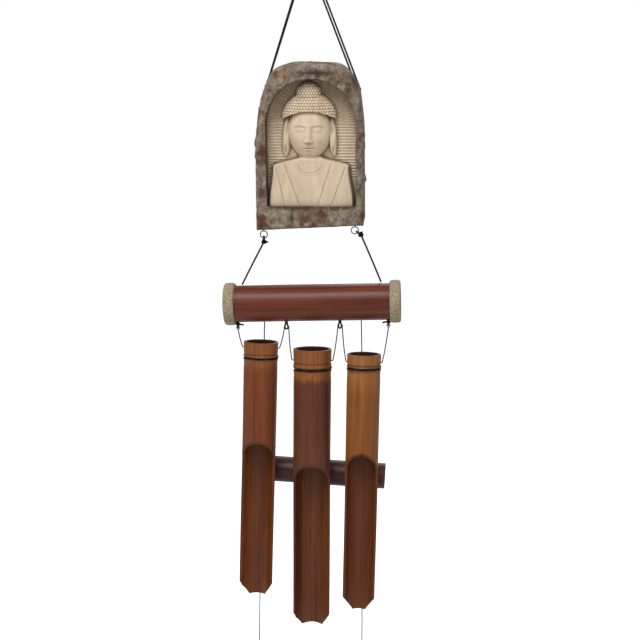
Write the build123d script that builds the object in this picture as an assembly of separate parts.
from build123d import *
from math import asin, cos, pi, radians, sin, sqrt, tan
import os

# Bamboo wind chime with a carved log plaque. Millimetres, +Z up, front towards -Y.
# The origin is the inside top of the hanging loop, where a hook bears.

# ---- driving dimensions ------------------------------------------------------------
# cords and lines
cord_dia = 1.8            # black waxed cord
line_dia = 1.2            # monofilament
free_gap = 0.3            # least clearance between pieces that move apart
hole_clearance = 0.4      # round a cord or line in its drilled hole

# hanging loop and knot
loop_radius = 5.0         # centreline radius of the loop's top
knot_z = -29.0            # centre of the top knot
knot_radius = 4.0

# plaque, in its own upright frame: x across, z up, y = 0 in the plane of the rear eyes
plaque_width = 106.6
plaque_centre_x = 2.3
plaque_top_z = -127.5
plaque_height = 158.4     # middle of the top edge to the middle of the bottom edge
plaque_slope = 5.6        # the bottom edge climbs this much from left to right
plaque_thick = 27.0
bark_thick = 2.6
rim_round = 8.0           # rounding of the log's front edge
eye_standoff = 4.7        # ring centre of a rear eye to the plaque's back
plaque_lean = 8.5         # degrees that the hung plaque tips its top forward
niche_width = 87.0
niche_centre_x = 4.3
niche_top_drop = 14.5     # top of the plaque to the crown of the niche
niche_height = 123.0
niche_depth = 15.0

# screw eyes
eye_radius = 3.6          # centreline radius of the ring
eye_wire = 0.55           # wire radius
shank_radius = 1.0
shank_length = 10.0
rear_eye_left = (-40.5, -157.0)
rear_eye_right = (49.0, -160.0)
lower_eye_left_x = -45.3
lower_eye_right_x = 45.7
lower_eye_depth = -13.7   # y of the lower eyes in the plaque's frame
lower_eye_drop = 8.3      # ring centre below the plaque's bottom edge
hang_angles = {"left": 90.0, "right": 36.0}  # where the bar cords hang on the lower rings, below level

# bar
bar_dia = 37.0
bar_wall = 4.5
bar_length = 176.4
bar_centre = (3.8, 2.1, -364.8)
bar_tilt = 1.64           # degrees, right end up
band_thick = 2.8          # the band stands this far out of the bar
band_width = 10.8
cord_entry_y = 4.9        # cord holes behind the bar's top line
loop_y = -2.5             # loops in front of the bar's bottom line
cord_entry_left = -71.6   # along the bar from its centre
cord_entry_right = 69.2
loop_places = {"outer_left": -75.6, "inner_left": -26.6, "inner_right": 27.2, "outer_right": 75.6}
outer_loop_radius = 2.0   # centreline radius of a black loop under the bar
outer_loop_drop = 3.6     # its centre below the bar's surface
inner_loop_radius = 2.6
inner_loop_drop = 4.3
hitch_radius = 1.6        # centreline radius of a line's ring round a loop
hitch_wire = 0.4
hitch_angle = 34.0        # two lines on one loop sit this far each side of its lowest point

# pipes: rim centre x and z, top and bottom diameter, wall, length, sideways lean in degrees,
# and, down from the rim: line hole, node ridge, front of the arch, foot of the arch
pipes = {
    "left": dict(x=-47.9, z=-404.6, top=34.4, foot=34.0, wall=2.6, length=267.4, lean=1.4,
                 hole=6.2, ridge=15.6, arch=99.7, arch_foot=117.5, tip=14.5, tip_half=8.2),
    "middle": dict(x=3.8, z=-411.3, top=38.4, foot=37.8, wall=2.8, length=291.8, lean=0.1,
                   hole=11.7, ridge=19.8, arch=115.5, arch_foot=134.0, tip=13.5, tip_half=10.5),
    "right": dict(x=55.95, z=-415.8, top=33.4, foot=32.3, wall=2.4, length=269.8, lean=0.9,
                  hole=8.2, ridge=13.8, arch=98.6, arch_foot=117.6, tip=15.0, tip_half=6.4),
}
tip_slant = 11.0          # degrees that a pipe's two chamfer cuts lean, lower towards the back
pipe_nod = 2.4            # degrees that a pipe tips its lighter front forward, as it hangs
node_bulge = 0.7          # the node ridge stands this far out of the pipe
node_groove = 0.6         # and the groove above it this far in
septum_thick = 3.5

# striker
striker_dia = 26.6
striker_wall = 3.6
striker_length = 138.0
striker_centre = (8.3, 27.7, -546.6)
striker_tilt = -2.7       # degrees, right end down
striker_line_left = -59.6  # along the striker from its centre
striker_line_right = 45.4
bar_line_left = -50.5     # along the bar from its centre
bar_line_right = 47.5

# wind catcher: a split of wide bamboo, curved from top to bottom
catcher_width = 132.0
catcher_height = 56.0
catcher_wall = 5.0
catcher_culm = 58.0       # outer radius of the bamboo that it is split from
catcher_top_z = -747.0
catcher_centre_x = -1.1
catcher_span = 110.2      # between its two line holes
catcher_turn = -7.3       # degrees that it hangs turned about X
catcher_loop = 4.5        # centreline radius of the line's loop through its hole
catcher_hole_radius = 2.4

cord_r, line_r, bar_r = cord_dia / 2, line_dia / 2, bar_dia / 2
cord_radii = {}


# ---- shapes ------------------------------------------------------------------------
def rod(a, b, radius):
    """A round rod from point a to point b."""
    a, b = Vector(*a), Vector(*b)
    plane = Plane(origin=a, z_dir=b - a)
    return extrude(plane * Circle(radius), (b - a).length)


def ball(centre, radius):
    return Pos(*centre) * Sphere(radius)


def egg(centre, half_x, half_y, half_z):
    """An ellipsoid with its axes along X, Y and Z."""
    return Pos(*centre) * scale(Sphere(1), by=(half_x, half_y, half_z))


def ring(centre, normal, radius, wire):
    """A closed ring of round wire."""
    return Plane(origin=Vector(*centre), z_dir=Vector(*normal)) * Torus(radius, wire)


def as_large_as_fits(points):
    """The radius of each corner of a cord's route: 0.45 of its shorter run over tan(turn / 2)."""
    found = []
    for a, b, c in zip(points, points[1:], points[2:]):
        before, after = Vector(*b) - Vector(*a), Vector(*c) - Vector(*b)
        turn = radians(before.get_angle(after))
        found.append(0.45 * min(before.length, after.length) / tan(turn / 2))
    return found


def tube(name, points, diameter, radii=None):
    """A cord along straight runs joined by tangent arcs. None in radii means as large as fits."""
    fitting = as_large_as_fits(points)
    radii = [given or best for given, best in zip(radii or [None] * len(fitting), fitting)]
    path = FilletPolyline(*[Vector(*p) for p in points], radius=radii)
    cord_radii[name] = [round(r, 1) for r in radii]
    section = Plane(origin=path @ 0, z_dir=path % 0) * Circle(diameter / 2)
    made = sweep(section, path)
    wanted = pi * diameter**2 / 4 * path.length
    print(f"{name}: {path.length:.1f} mm, radii {cord_radii[name]}, volume / (section x length) "
          f"{made.volume / wanted:.4f}")
    return made


def along(a, b, distance):
    """The point this far from a on the way to b."""
    a, b = Vector(*a), Vector(*b)
    return tuple(a + (b - a).normalized() * distance)


def bowed(a, b, bow):
    """a, b and a point between them, pushed aside by bow."""
    middle = (Vector(*a) + Vector(*b)) / 2 + Vector(*bow)
    return [a, tuple(middle), b]


# ---- hanging loop, knot and top cords ----------------------------------------------
knot = (0.0, 0.0, knot_z)


def hanging_loop():
    """A teardrop of cord over the hook, both legs ending just clear of the knot."""
    top = cord_r
    low = knot_z + knot_radius + free_gap
    leg = cord_r + 0.15
    arc_centre = top - loop_radius
    turn_z = arc_centre - 2.0
    points = [(-leg, 0, low), (-loop_radius, 0, turn_z), (-loop_radius * 0.9, 0, top),
              (loop_radius * 0.9, 0, top), (loop_radius, 0, turn_z), (leg, 0, low)]
    return tube("hanging_loop", points, cord_dia)


def top_cord(name, start, end, bow):
    """One of the four cords from the top knot to the plaque's rear eyes."""
    return tube(name, bowed(start, end, bow), cord_dia)


# ---- plaque ------------------------------------------------------------------------
pivot_z = (rear_eye_left[1] + rear_eye_right[1]) / 2
lean = Pos(0, 0, pivot_z) * Rot(plaque_lean, 0, 0) * Pos(0, 0, -pivot_z)
back_y = -eye_standoff
front_y = back_y - plaque_thick
niche_floor = front_y + niche_depth
left_x = plaque_centre_x - plaque_width / 2
right_x = plaque_centre_x + plaque_width / 2
bottom_z = plaque_top_z - plaque_height


def leaned(x, y, z):
    """A point of the upright plaque, where it is once the plaque hangs."""
    return tuple((lean * Pos(x, y, z)).position)


def bottom_at(x):
    return bottom_z + plaque_slope * (x - plaque_centre_x) / plaque_width


def slab(inset, y, thick, rounding):
    """The arched log slab, its sides and top brought in by inset, from y forward by thick."""
    left, right, top = left_x + inset, right_x - inset, plaque_top_z - inset
    outline = [(left, bottom_at(left)), (left + 0.5, top - 80), (left + 2.4, top - 56), (left + 9, top - 28),
               (left + 17, top - 7), (plaque_centre_x - 15, top), (plaque_centre_x + 29, top - 1.5),
               (right - 14, top - 7.5), (right - 4.3, top - 24.5), (right - 0.4, top - 58),
               (right, bottom_at(right))]
    face = make_face(Plane.XZ.offset(-y) * Polyline(*outline, close=True))
    corners = face.vertices().sort_by(Axis.Z)[2:]
    face = fillet(corners, 7)
    body = extrude(face, thick, dir=(0, -1, 0))
    front = body.faces().sort_by(Axis.Y)[0]
    upper = [e for e in front.edges() if e.center().Z > bottom_z + plaque_slope + 2]
    return fillet(upper, rounding)


def niche():
    """The arched recess, open to the front."""
    half = niche_width / 2
    crown = plaque_top_z - niche_top_drop
    spring = crown - half
    low = crown - niche_height
    x = niche_centre_x
    edges = [Line((x - half, spring), (x - half, low)), Line((x - half, low), (x + half, low)),
             Line((x + half, low), (x + half, spring)),
             ThreePointArc((x + half, spring), (x, crown), (x - half, spring))]
    face = make_face(Plane.XZ.offset(-niche_floor) * Wire(edges))
    return extrude(face, niche_depth + 5, dir=(0, -1, 0))


def bust():
    """The carved figure in relief: robe, neck, head, ears, hair cap and bun."""
    x = niche_centre_x - 1.5
    base = plaque_top_z - niche_top_drop - niche_height
    robe = [(x - 38, base), (x - 37, base + 30), (x - 27, base + 43), (x - 9, base + 48),
            (x + 9, base + 48), (x + 27, base + 43), (x + 37, base + 30), (x + 38, base)]
    face = make_face(Plane.XZ.offset(-niche_floor - 1) * Polyline(*robe, close=True))
    chest = extrude(face, 10, dir=(0, -1, 0))
    chest = fillet(chest.faces().sort_by(Axis.Y)[0].edges(), 4)
    neck = Pos(x, niche_floor - 1, base + 50) * Cylinder(10, 20)
    head = egg((x, niche_floor - 1, base + 68), 20, 12, 23)
    cap = egg((x, niche_floor + 1, base + 86), 24, 11, 16)
    bun = egg((x, niche_floor + 1, base + 106), 12, 8, 7.5)
    figure = chest + neck + head + cap + bun
    for side in (-1, 1):
        figure += egg((x + side * 20.5, niche_floor, base + 64), 3.6, 5, 13)
    return figure


def shank(centre, direction):
    """The threaded part of a screw eye, from the ring into the wood."""
    start = along(centre, tuple(Vector(*centre) + Vector(*direction)), eye_radius - 0.3)
    end = along(centre, tuple(Vector(*centre) + Vector(*direction)), eye_radius + shank_length)
    return rod(start, end, shank_radius)


def eye_ring(centre, normal):
    return ring(centre, normal, eye_radius, eye_wire)


rear_centres = {"left": (rear_eye_left[0], 0, rear_eye_left[1] - eye_radius),
                "right": (rear_eye_right[0], 0, rear_eye_right[1] - eye_radius)}
lower_centres = {side: (x, lower_eye_depth, bottom_at(x) - lower_eye_drop)
                 for side, x in (("left", lower_eye_left_x), ("right", lower_eye_right_x))}
rear_tops = {side: leaned(*rear) for side, rear in (("left", (rear_eye_left[0], 0, rear_eye_left[1])),
                                                   ("right", (rear_eye_right[0], 0, rear_eye_right[1])))}
ring_way = {side: Vector(cos(radians(a)), 0, -sin(radians(a))) for side, a in hang_angles.items()}
lower_hangs = {side: leaned(*(Vector(*at) + ring_way[side] * eye_radius))
               for side, at in lower_centres.items()}


def plaque():
    """Wood and bark of the plaque and its four screw eyes, all leaning as they hang."""
    recess = niche()
    whole = slab(0, back_y, plaque_thick, rim_round)
    core = slab(bark_thick, back_y, plaque_thick - bark_thick, rim_round - bark_thick / 2)
    bark = whole - core - recess
    wood = core - recess + bust()
    shanks = {}
    for side, centre in rear_centres.items():
        shanks["rear_eye_" + side] = (centre, (0, -1, 0), (1, 0, 0))
    for side, centre in lower_centres.items():
        shanks["lower_eye_" + side] = (centre, (0, 0, 1), (0, 1, 0))
    made = {}
    for name, (centre, into, normal) in shanks.items():
        screw = shank(centre, into)
        wood -= screw
        bark -= screw
        made[name] = eye_ring(centre, normal) + screw
    made |= {"plaque_wood": wood, "plaque_bark": bark}
    return {name: lean * shape for name, shape in made.items()}


# ---- bar ---------------------------------------------------------------------------
bar_place = Pos(*bar_centre) * Rot(0, -bar_tilt, 0)


def on_bar(x, y, z):
    """A point given along, across and above the bar's axis."""
    return tuple((bar_place * Pos(x, y, z)).position)


def surface(y):
    """Height of the bar's surface over its axis, at this y."""
    return sqrt(bar_r**2 - y**2)


def under_bar(x, drop):
    """A point under the bar on the line of the loops, this far below the bar's surface."""
    return on_bar(x, loop_y, -surface(loop_y) - drop)


entries = {side: on_bar(x, cord_entry_y, surface(cord_entry_y))
           for side, x in (("left", cord_entry_left), ("right", cord_entry_right))}
outer_loop, inner_loop = (outer_loop_radius, outer_loop_drop), (inner_loop_radius, inner_loop_drop)
loop_sizes = {name: outer_loop if "outer" in name else inner_loop for name in loop_places}
loop_centres = {name: under_bar(x, loop_sizes[name][1]) for name, x in loop_places.items()}
line_exits = {side: on_bar(x, bar_r, 0) for side, x in (("left", bar_line_left), ("right", bar_line_right))}
hitch_ball = 1.5          # radius of the knot where a striker line leaves the bar
knot_tail = 0.4           # how far its tail goes into the hole: it stays clear when the line swings
loop_knot = 1.5           # radius of the knot at the top of an outer loop


def through_cord(name, radius):
    """The cord of an outer loop: up from its knot to the surface, then slantwise through the bar."""
    x = loop_places[name]
    low, high = under_bar(x, 0), entries["left" if "left" in name else "right"]
    return rod(under_bar(x, loop_knot), low, radius) + ball(low, radius) + rod(low, high, radius)


def bar_tube():
    """The bar, bored through, with its holes for cords and lines."""
    body = Cylinder(bar_r, bar_length, rotation=(0, 90, 0))
    body -= Cylinder(bar_r - bar_wall, bar_length, rotation=(0, 90, 0))
    rims = body.edges().filter_by(GeomType.CIRCLE).sort_by(SortBy.RADIUS)[-2:]
    body = bar_place * chamfer(rims, 0.8)
    for name, x in loop_places.items():
        if "outer" in name:
            body -= through_cord(name, cord_r + hole_clearance)
            body -= ball(entries["left" if "left" in name else "right"], cord_r + hole_clearance)
        else:
            body -= rod(under_bar(x, 2), on_bar(x, loop_y, 0), cord_r + hole_clearance)
    for x in (bar_line_left, bar_line_right):
        body -= rod(on_bar(x, bar_r + 3, 0), on_bar(x, 0, 0), line_r + 2.5 * hole_clearance)
    return body


def band(side):
    """A plaited fibre band round one end of the bar."""
    body = Cylinder(bar_r + band_thick, band_width, rotation=(0, 90, 0))
    body -= Cylinder(bar_r, band_width, rotation=(0, 90, 0))
    body = fillet(body.edges().filter_by(GeomType.CIRCLE).sort_by(SortBy.RADIUS)[-2:], 2)
    return bar_place * Pos(side * (bar_length - band_width) / 2, 0, 0) * body


def bar_loop(name):
    """A black loop under the bar. The outer two are the ends of the cords that go up through the bar."""
    centre, x = loop_centres[name], loop_places[name]
    radius, drop = loop_sizes[name]
    if "outer" in name:
        inward = 6 if "left" in name else -6
        tail = on_bar(x + inward, loop_y, -surface(loop_y) - loop_knot - 0.6)
        body = ring(centre, (1, 0, 0), radius, cord_r) + ball(under_bar(x, loop_knot + 0.1), loop_knot)
        return body + rod(under_bar(x, loop_knot), tail, cord_r * 0.9) + through_cord(name, cord_r)
    stop = on_bar(x, loop_y, -surface(loop_y) + bar_wall + cord_r + 1.2)
    stem = rod(under_bar(x, drop - radius), stop, cord_r)
    return ring(centre, (0, 1, 0), radius, cord_r) + stem + ball(stop, 2.0)


def line_anchor(side):
    """The knot inside the bar that holds one striker line, with the line in its hole."""
    x = bar_line_left if side == "left" else bar_line_right
    centre = on_bar(x, bar_r - bar_wall - 1.9, 0)
    return ball(centre, 2.2) + rod(centre, on_bar(x, bar_r - 1.8, 0), line_r)


# ---- cords from the plaque to the bar ----------------------------------------------
eye_loop = eye_wire + free_gap + cord_r    # centreline radius of a cord's loop round an eye's wire
eye_ball = 2.2            # radius of the knot beside it


def eye_knot(side):
    """The bar cord's loop through a lower eye, and the knot beside it."""
    way = ring_way[side]
    at = Vector(*lower_hangs[side])
    knot_at = at + way * (eye_loop + eye_ball)
    tail = knot_at + Vector(4.0, 0, -0.5) if side == "left" else knot_at + Vector(1.0, 0, 3.0)
    loop = ring(at, (-way.Z, 0, way.X), eye_loop, cord_r)
    return loop + ball(knot_at, eye_ball) + rod(knot_at, tail, cord_r * 0.9)


def bar_cord(side, outward):
    """The cord from the knot at a lower eye to the top of the bar."""
    start = Vector(*lower_hangs[side]) + ring_way[side] * (eye_loop + eye_ball)
    end = entries[side]
    run = (Vector(*end) - start).length
    return tube("bar_cord_" + side, bowed(along(start, end, 1), along(start, end, run - 1.2),
                                          (outward * 0.5, 0, -0.3)), cord_dia)


# ---- pipes and their lines ---------------------------------------------------------
def pipe_place(p):
    """The pipe's own frame: rim centre at the origin, pipe down -Z, hung by its line hole."""
    nod = Pos(0, 0, -p["hole"]) * Rot(-pipe_nod, 0, 0) * Pos(0, 0, p["hole"])
    return Pos(p["x"], bar_centre[1] + loop_y, p["z"]) * Rot(0, p["lean"], 0) * nod


def radius_at(p, depth):
    return (p["top"] + (p["foot"] - p["top"]) * depth / p["length"]) / 2


def pipe(p):
    """Bamboo with a node and its septum near the rim, cut to a scoop below the arch."""
    top, foot, wall, length, ridge = p["top"] / 2, p["foot"] / 2, p["wall"], p["length"], p["ridge"]
    bore = top - wall
    low_bore = foot - wall
    profile = Polyline(
        (bore, 0), (top, 0), (top, -ridge + 5.5), (top - node_groove, -ridge + 3.6),
        (top - node_groove, -ridge + 2.4), (top + node_bulge, -ridge + 0.6), (top + node_bulge, -ridge - 0.8),
        (top, -ridge - 3), (foot, -length), (low_bore, -length), (bore, -ridge - 2),
        (0, -ridge - 2), (0, -ridge - 2 + septum_thick), (bore, -ridge - 2 + septum_thick), close=True)
    body = revolve(make_face(Plane.XZ * profile), Axis.Z)
    r = radius_at(p, p["arch"])
    scoop = Polyline((-r, -p["arch"]), (0, -p["arch_foot"]), (0, -length - 5), (-2 * r, -length - 5),
                     (-2 * r, -2 * p["arch"] + p["arch_foot"]), close=True)
    body -= extrude(make_face(Plane.YZ * scoop), 2 * r, both=True)
    for side in (-1, 1):
        tip = Polyline((side * (foot + 3), -length + p["tip"] * (1 + 3 / (foot - p["tip_half"]))),
                       (side * p["tip_half"], -length), (side * p["tip_half"], -length - 5),
                       (side * (foot + 3), -length - 5), close=True)
        chamfer_cut = extrude(make_face(Plane.XZ * tip), 2 * foot, both=True)
        start = Pos(0, 0, -length + p["tip"])
        body -= start * Rot(-tip_slant, 0, 0) * start.inverse() * chamfer_cut
    hole = Cylinder(line_r + hole_clearance + 0.4, 3 * top, rotation=(0, 90, 0))
    return pipe_place(p) * (body - Pos(0, 0, -p["hole"]) * hole)


def line_holes(p):
    """The two points where the pipe's line leaves its side holes."""
    reach = radius_at(p, p["hole"])
    return [tuple((pipe_place(p) * Pos(side * reach, 0, -p["hole"])).position) for side in (-1, 1)]


def hitch(name, side):
    """Centre and outward direction of a line's ring on a loop: side is -1, 0 or 1, from the loop's middle."""
    turn = radians(side * hitch_angle)
    way = Vector(sin(turn), 0, -cos(turn))
    return Vector(*loop_centres[name]) + way * loop_sizes[name][0], way


line_loops = {"left": ("outer_left", "inner_left"), "middle": ("inner_left", "inner_right"),
              "right": ("inner_right", "outer_right")}
hitches = {"left": (hitch("outer_left", 0), hitch("inner_left", -1)),
           "middle": (hitch("inner_left", 1), hitch("inner_right", -1)),
           "right": (hitch("inner_right", 1), hitch("outer_right", 0))}
hole_bend = 1.6           # the line's arc round the edge of a side hole


def pipe_line(name):
    """One line: a ring on its left loop, down, through the pipe, and up to its right loop."""
    left_hole, right_hole = line_holes(pipes[name])
    (left_at, left_way), (right_at, right_way) = hitches[name]
    left_out = Vector(*left_hole) - Vector(1.5, 0, 0)
    right_out = Vector(*right_hole) + Vector(1.5, 0, 0)
    left_top = left_at + left_way * hitch_radius
    right_top = right_at + right_way * hitch_radius
    left_mid = (left_top + left_out) / 2 - Vector(0.7, 0, 0)
    right_mid = (right_top + right_out) / 2 + Vector(0.7, 0, 0)
    points = [left_top, left_mid, left_out, right_out, right_mid, right_top]
    made = tube("pipe_line_" + name, points, line_dia, [None, hole_bend, hole_bend, None])
    for loop, (at, way) in zip(line_loops[name], hitches[name]):
        normal = (0, 1, 0) if "outer" in loop else (-way.Z, 0, way.X)
        made += ring(at, normal, hitch_radius, hitch_wire)
    return made


# ---- striker, its lines, and the wind catcher --------------------------------------
striker_place = Pos(*striker_centre) * Rot(0, -striker_tilt, 0)
striker_xs = {"left": striker_line_left, "right": striker_line_right}
stop_ball = 2.0           # radius of the stop knot under the striker
stop_recess = 2.2         # the stop's line ends this far down in its hole, clear of the line above


def on_striker(x, y, z):
    return tuple((striker_place * Pos(x, y, z)).position)


def line_knot(side):
    """The knot at the mouth of a bar hole that a striker line hangs on, with its short tail in the hole."""
    x, y, z = line_exits[side]
    at = (x, y + hitch_ball + free_gap, z)
    return ball(at, hitch_ball) + rod((x, y - knot_tail, z), at, line_r)


line_knots = {side: (x, y + hitch_ball + free_gap, z) for side, (x, y, z) in line_exits.items()}
striker_tops = {side: on_striker(x, 0, striker_dia / 2) for side, x in striker_xs.items()}
striker_stops = {side: on_striker(x, 0, -striker_dia / 2 - stop_ball + 0.3) for side, x in striker_xs.items()}


def striker_line(side):
    start = along(line_knots[side], striker_tops[side], hitch_ball + free_gap)
    run = (Vector(*striker_tops[side]) - Vector(*line_knots[side])).length
    end = along(line_knots[side], striker_tops[side], run - 0.5)
    bow = -0.5 if side == "left" else 0.5
    return tube("striker_line_" + side, bowed(start, end, (bow, 0, 0)), line_dia)


def striker():
    """A short bamboo tube hung level behind the pipes."""
    r = striker_dia / 2
    body = Cylinder(r, striker_length, rotation=(0, 90, 0)) - Cylinder(r - striker_wall, striker_length,
                                                                     rotation=(0, 90, 0))
    body = chamfer(body.edges().filter_by(GeomType.CIRCLE).sort_by(SortBy.RADIUS)[-2:], 0.8)
    body = striker_place * body
    for x in striker_xs.values():
        body -= rod(on_striker(x, 0, r + 3), on_striker(x, 0, -r - 3), line_r + hole_clearance)
    return body


def striker_stop(side):
    """The line inside the striker, and the knot under it that carries the striker."""
    x, r = striker_xs[side], striker_dia / 2
    return rod(on_striker(x, 0, r - stop_recess), striker_stops[side], line_r) + ball(striker_stops[side], stop_ball)


catcher_mid = catcher_culm - catcher_wall / 2
catcher_half = asin(catcher_height / 2 / catcher_mid)
catcher_edge = catcher_half + radians(catcher_turn)
catcher_axis_z = catcher_top_z - catcher_mid * sin(catcher_edge)
edge_y, edge_z = -catcher_mid * cos(catcher_edge), catcher_mid * sin(catcher_edge)
hole_angle = catcher_edge - (catcher_loop - 0.3) / catcher_mid
catcher_axis_y = striker_stops["left"][1] + catcher_mid * cos(hole_angle)
catcher_xs = {"left": catcher_centre_x - catcher_span / 2, "right": catcher_centre_x + catcher_span / 2}
catcher_edges = {side: (x, catcher_axis_y + edge_y, catcher_axis_z + edge_z)
                 for side, x in catcher_xs.items()}
catcher_holes = {side: (x, catcher_axis_y - catcher_mid * cos(hole_angle),
                        catcher_axis_z + catcher_mid * sin(hole_angle))
                 for side, (x, y, z) in catcher_edges.items()}


def wind_catcher():
    """A slat split from wide bamboo, grain across, with a hole near each end of its top edge."""
    outer, inner = catcher_culm, catcher_culm - catcher_wall
    low, high = pi - catcher_edge, pi - catcher_edge + 2 * catcher_half

    def at(radius, angle):
        return (radius * cos(angle), radius * sin(angle))

    mid = (low + high) / 2
    edges = [ThreePointArc(at(outer, low), at(outer, mid), at(outer, high)),
             Line(at(outer, high), at(inner, high)),
             ThreePointArc(at(inner, high), at(inner, mid), at(inner, low)),
             Line(at(inner, low), at(outer, low))]
    face = make_face(Plane.YZ * Wire(edges))
    body = extrude(face, catcher_width / 2, both=True)
    body = fillet([e for e in body.edges() if abs(e.length - catcher_wall) < 0.01], 6)
    body = Pos(catcher_centre_x, catcher_axis_y, catcher_axis_z) * body
    for x, y, z in catcher_holes.values():
        across = Vector(0, -cos(hole_angle), sin(hole_angle)) * 2 * catcher_wall
        body -= rod(tuple(Vector(x, y, z) - across), tuple(Vector(x, y, z) + across), catcher_hole_radius)
    return body


def catcher_knot(side):
    """The line's loop through the catcher's hole and round its top edge, closed by a knot."""
    at = Vector(*catcher_edges[side])
    return ring(at, (1, 0, 0), catcher_loop, line_r) + ball(at + Vector(0.2, 0.3, catcher_loop + 1), 1.8)


def catcher_line(side):
    knot_at = tuple(Vector(*catcher_edges[side]) + Vector(0, 0, catcher_loop + 1))
    start = along(striker_stops[side], knot_at, stop_ball + free_gap)
    bow = -0.5 if side == "left" else 0.5
    return tube("catcher_line_" + side, bowed(start, knot_at, (bow, 0.4, 0)), line_dia)


# ---- all the nodes -----------------------------------------------------------------
def build():
    nodes = {"hanging_loop": hanging_loop(), "hanging_knot": ball(knot, knot_radius)}
    for side, x_start in (("left", -2.4), ("right", 1.4)):
        at = rear_tops[side]
        tie = (at[0], at[1], at[2] + 4.6)
        nodes["rear_knot_" + side] = ring(at, (0, 1, 0), eye_loop, cord_r) + ball(tie, 2.5)
        spread = ("front", "rear") if side == "left" else ("inner", "outer")
        for word, s in zip(spread, (-1, 1)):
            # the left pair lies one behind the other, the right pair side by side
            off = (0.25 * s, 1.05 * s, 0) if side == "left" else (1.15 * s, 0, -0.5 * s)
            wide = (0, 1.05 * s, 0) if side == "left" else (1.5 * s, 0, -0.6 * s)
            away = Vector(x_start, 0, 0) + Vector(*off)
            start = (away.X, away.Y, knot_z - sqrt((knot_radius + free_gap + 0.4)**2 - away.X**2 - away.Y**2))
            end = tuple(Vector(*tie) + Vector(*wide) + Vector(0, 0, 1.2))
            name = f"top_cord_{side}_{word}"
            nodes[name] = top_cord(name, start, end, (0.3 * s, 0, -0.3)) - nodes["rear_knot_" + side]
    nodes |= plaque()
    for side, outward in (("left", -1), ("right", 1)):
        nodes["eye_knot_" + side] = eye_knot(side)
        nodes["bar_cord_" + side] = bar_cord(side, outward) - nodes["eye_knot_" + side]
    nodes["bar_tube"] = bar_tube()
    nodes["band_left"], nodes["band_right"] = band(-1), band(1)
    for name in loop_places:
        nodes["bar_loop_" + name] = bar_loop(name)
    for name, p in pipes.items():
        nodes["pipe_line_" + name] = pipe_line(name)
        nodes["pipe_" + name] = pipe(p)
    for side in ("left", "right"):
        nodes["line_anchor_" + side] = line_anchor(side)
        nodes["line_knot_" + side] = line_knot(side)
        nodes["striker_line_" + side] = striker_line(side)
        nodes["striker_stop_" + side] = striker_stop(side)
        nodes["catcher_knot_" + side] = catcher_knot(side)
        nodes["catcher_line_" + side] = catcher_line(side) - nodes["catcher_knot_" + side]
    nodes["striker"] = striker()
    nodes["wind_catcher"] = wind_catcher()
    return nodes


os.makedirs("parts", exist_ok=True)
for node, shape in build().items():
    export_step(shape, f"parts/{node}.step")
